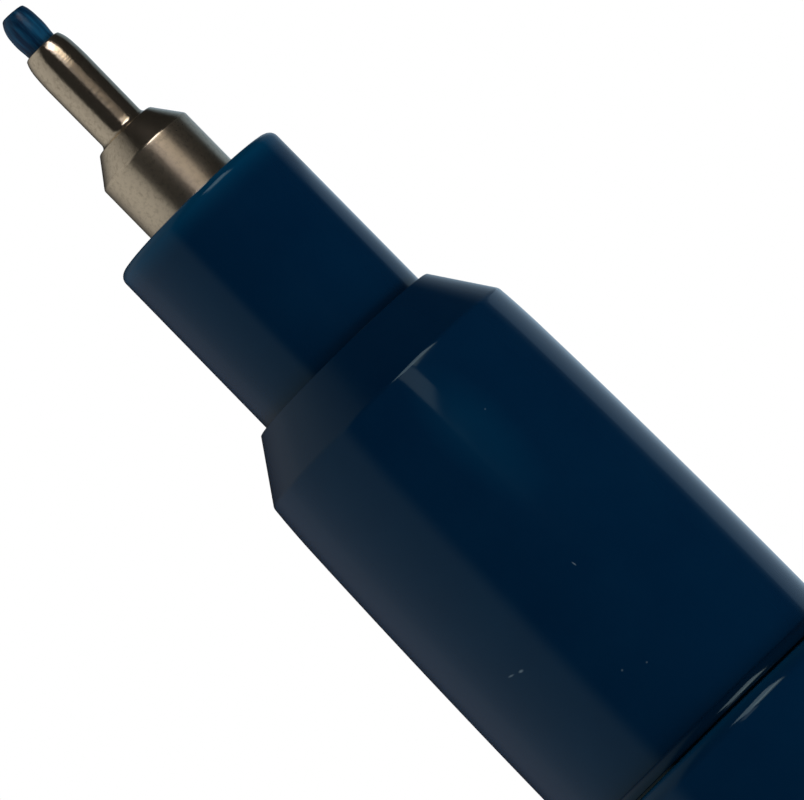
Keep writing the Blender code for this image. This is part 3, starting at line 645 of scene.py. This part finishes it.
def makeGrip(shape):
    flangeRadius, bottom, top = nodeSize("grip_section")
    sealLow, sealHigh = (corner.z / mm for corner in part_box("section_seal"))
    collarEdge = top - shape["collar"]
    sectionRear = bottom + shape["plugLength"]
    flareTop = sectionRear + shape["flange"]
    side = []
    for step in range(1, shape["crownSteps"]):
        part = step / shape["crownSteps"]
        radius = shape["front"] + (shape["rear"] - shape["front"]) * part
        radius += 4 * part * (1 - part) * shape["crown"]
        eased = min(1, part * (collarEdge - flareTop) / shape["easeLength"])
        radius += shape["ease"] * eased * (2 - eased) * (1 - part)
        side.append((radius, collarEdge + (flareTop - collarEdge) * part, 0))
    bm = lathe([
        (shape["hole"], top, 0),
        (shape["step"], top, shape["stepRound"]),
        (shape["front"], collarEdge, shape["collarRound"]),
        *side,
        (shape["rear"], flareTop, 0),
        (flangeRadius, sectionRear + shape["flangeEdge"], shape["flangeRound"]),
        (flangeRadius, sectionRear, shape["flangeBack"]),
        (shape["plug"], sectionRear, 0),
        (shape["plug"], sealHigh + shape["sealRoom"], 0),
        (shape["groove"], sealHigh + shape["sealRoom"], 0),
        (shape["groove"], sealLow - shape["sealRoom"], 0),
        (shape["plug"], sealLow - shape["sealRoom"], 0),
        (shape["plug"], bottom, shape["plugRound"]),
        (shape["bore"], bottom, 0),
        (shape["bore"], top - shape["ledge"], 0),
        (shape["hole"], top - shape["ledge"], 0),
    ])
    return standFor(finishMesh(bm, "gripMoulding", navy), "marker_body", "navy_polypropylene", "grip_section")


# Barrel: long tube with a rounded lip, and a tapered spigot at its tail that the posted cap sits on
barrelShape = {
    "wall": 1.0, "forward": 0.08, "mouthRound": 0.08, "lipSlope": 16, "lipLength": 0.6, "lipRound": 0.48,
    "lipEase": 0.09, "tailRound": 0.5, "spigotRoot": 6.693, "spigotEnd": 6.318, "spigotBore": 5.443,
    "spigotLength": 16.0, "spigotRound": 0.3, "spigotInner": 0.1, "taper": 3.0,
}


def makeBarrel(shape):
    radius, bottom, mouth = nodeSize("barrel")
    bore = radius - shape["wall"]
    shoulder = bottom + shape["spigotLength"]
    mouth += shape["forward"]
    lipRadius = radius - shape["lipLength"] * math.tan(math.radians(shape["lipSlope"]))
    bm = lathe([
        (bore, mouth, shape["mouthRound"]),
        (lipRadius, mouth, shape["lipRound"]),
        (radius, mouth - shape["lipLength"], shape["lipEase"]),
        (radius, shoulder, shape["tailRound"]),
        (shape["spigotRoot"], shoulder, 0),
        (shape["spigotEnd"], bottom, shape["spigotRound"]),
        (shape["spigotBore"], bottom, shape["spigotInner"]),
        (shape["spigotBore"], shoulder, 0),
        (bore, shoulder + shape["taper"], 0),
    ])
    return standFor(finishMesh(bm, "barrelTube", navy), "marker_body", "navy_polypropylene", "barrel")


# Cap: a cup with a tapered mouth, a small gate dimple under its closed end, and a moulded clip
capShape = {
    "endRound": 0.8, "rimRound": 0.2, "mouth": 6.843, "bore": 6.408, "mouthDepth": 18.56, "floor": 1.3,
    "floorRound": 0.8, "dimple": 1.3, "dimpleDepth": 0.25, "dimpleFloor": 0.05, "dimpleEdge": 0.08,
    "clipWidth": 4.4, "clipSoft": 0.45, "clipSoftSteps": 4, "clipRoot": 6.97, "clipInner": 8.798,
    "clipLow": 4.0, "clipElbow": 1.6, "clipRootTop": 10.0, "clipTop": 40.0, "clipRound": 0.7,
    "beadReach": 7.998, "beadLow": 37.0, "beadRound": 0.6, "beadFoot": 0.4,
}


def makeCap(shape):
    radius, bottom, rim = nodeSize("cap_shell")
    clipOuter = -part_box("cap_shell")[0].y / mm
    clip = drawOutline([
        (shape["clipRoot"], shape["clipLow"], 0),
        (clipOuter, shape["clipLow"], shape["clipElbow"]),
        (clipOuter, shape["clipTop"], shape["clipRound"]),
        (shape["clipInner"], shape["clipTop"], shape["clipRound"]),
        (shape["beadReach"], (shape["clipTop"] + shape["beadLow"]) / 2, shape["beadRound"]),
        (shape["clipInner"], shape["beadLow"], shape["beadFoot"]),
        (shape["clipInner"], shape["clipRootTop"], shape["clipRound"]),
        (shape["clipRoot"], shape["clipRootTop"], 0),
    ], True)
    bmesh.ops.contextual_create(clip, geom=clip.verts[:] + clip.edges[:])
    width = bmesh.ops.extrude_face_region(clip, geom=clip.faces[:])["geom"]
    bmesh.ops.translate(clip, verts=[part for part in width if isinstance(part, bmesh.types.BMVert)],
                        vec=(0, shape["clipWidth"] * mm, 0))
    bmesh.ops.translate(clip, verts=clip.verts, vec=(0, -shape["clipWidth"] / 2 * mm, 0))
    bmesh.ops.rotate(clip, verts=clip.verts, cent=(0, 0, 0), matrix=Matrix.Rotation(-math.pi / 2, 3, "Z"))
    sides = [edge for edge in clip.edges if abs(edge.verts[0].co.x - edge.verts[1].co.x) < touching]
    bmesh.ops.bevel(clip, geom=sides, offset=shape["clipSoft"] * mm, offset_type="OFFSET",
                    segments=shape["clipSoftSteps"], profile=0.5, affect="EDGES", clamp_overlap=True,
                    material=-1)
    clipMesh = bpy.data.meshes.new("clip")
    clip.to_mesh(clipMesh)
    clip.free()
    bm = lathe([
        (0, bottom + shape["dimpleDepth"], 0),
        (shape["dimple"], bottom + shape["dimpleDepth"], shape["dimpleFloor"]),
        (shape["dimple"] + shape["dimpleDepth"], bottom, shape["dimpleEdge"]),
        (radius, bottom, shape["endRound"]),
        (radius, rim, shape["rimRound"]),
        (shape["mouth"], rim, shape["rimRound"]),
        (shape["bore"], rim - shape["mouthDepth"], 0),
        (shape["bore"], bottom + shape["floor"], shape["floorRound"]),
        (0, bottom + shape["floor"], 0),
    ])
    bm.from_mesh(clipMesh)
    bpy.data.meshes.remove(clipMesh)
    return standFor(finishMesh(bm, "clipCap", navy), "cap", "navy_polypropylene", "cap_shell")


# Valve spring: round wire coiled between the case and the plunger. The tip presses it together in use; this
# coil
# # keeps its rest length
springShape = {"wire": 0.25, "turns": 6, "stepsPerTurn": 48, "wireSides": 14}


def makeSpring(shape):
    radius, bottom, top = nodeSize("valve_spring")
    mean = radius - shape["wire"]
    steps = shape["turns"] * shape["stepsPerTurn"]
    rise = (top - bottom - 2 * shape["wire"]) / steps
    bm = bmesh.new()
    bmesh.ops.create_circle(bm, segments=shape["wireSides"], radius=shape["wire"] * mm)
    bmesh.ops.rotate(bm, verts=bm.verts, cent=(0, 0, 0), matrix=Matrix.Rotation(math.pi / 2, 3, "X"))
    bmesh.ops.translate(bm, verts=bm.verts, vec=(mean * mm, 0, (bottom + shape["wire"]) * mm))
    bmesh.ops.spin(bm, geom=bm.verts[:] + bm.edges[:], cent=(0, 0, 0), axis=(0, 0, 1),
                   dvec=(0, 0, rise * mm), angle=2 * math.pi * shape["turns"], steps=steps, use_merge=False)
    bmesh.ops.holes_fill(bm, edges=bm.edges, sides=0)
    spring = finishMesh(bm, "coilSpring", inside["drawnSpringSteel"])
    standFor(spring, "marker_body", "spring_steel", "valve_spring")
    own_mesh(spring)
    return spring


for make, shape in ((makeNib, nibShape), (makeSleeve, sleeveShape), (makeNose, noseShape),
                    (makeGrip, gripShape), (makeBarrel, barrelShape), (makeCap, capShape),
                    (makeSpring, springShape)):
    piece = make(shape)
    print("made", piece.name, "with", len(piece.data.polygons), "faces")

# Floor: plain and pale, as low as the cap goes when it is pulled off, fading into the white around it. It is
# one-sided so that the marker shows from below too, and open to the cards under it
floorSettings = {"size": 4000, "colour": "#f2f1ef", "roughness": 0.8, "clear": 0.55, "fade": (100, 700)}


def makeFloor(settings):
    bm = bmesh.new()
    bmesh.ops.create_grid(bm, x_segments=1, y_segments=1, size=settings["size"] / 2 * mm)
    pull = next(joint for joint in frame["joints"] if joint["name"] == "cap_pull")
    bmesh.ops.translate(bm, verts=bm.verts, vec=(0, 0, -pull["range_m"][1]))
    material, tree, coords = startMaterial("paleFloor")
    path = addNode(tree, "ShaderNodeLightPath")
    top = addNode(tree, "ShaderNodeBsdfPrincipled", {
        "Base Color": hexColour(settings["colour"]), "Roughness": settings["roughness"]})
    under = addNode(tree, "ShaderNodeBsdfTransparent")
    away = addNode(tree, "ShaderNodeVectorMath", {0: coords}, operation="LENGTH")
    share = addNode(tree, "ShaderNodeMapRange", {
        "Value": away.outputs["Value"], "From Min": settings["fade"][0] * mm,
        "From Max": settings["fade"][1] * mm, "To Min": settings["clear"], "To Max": 1.0},
        interpolation_type="SMOOTHSTEP")
    shown = addNode(tree, "ShaderNodeMath", {
        0: path.outputs["Is Camera Ray"], 1: share.outputs["Result"]}, operation="MULTIPLY")
    side = addNode(tree, "ShaderNodeNewGeometry").outputs["Backfacing"]
    clear = addNode(tree, "ShaderNodeMath", {0: side, 1: path.outputs["Is Shadow Ray"]}, operation="MAXIMUM")
    clear = addNode(tree, "ShaderNodeMath", {0: clear.outputs[0], 1: shown.outputs[0]}, operation="MAXIMUM")
    mixed = addNode(tree, "ShaderNodeMixShader", {
        0: clear.outputs[0], 1: top.outputs[0], 2: under.outputs[0]})
    endMaterial(tree, mixed)
    mesh = bpy.data.meshes.new("floor")
    bm.to_mesh(mesh)
    bm.free()
    mesh.materials.append(material)
    floor = bpy.data.objects.new("floor", mesh)
    scene.collection.objects.link(floor)
    floor.visible_glossy = False


makeFloor(floorSettings)

print("pieces placed")
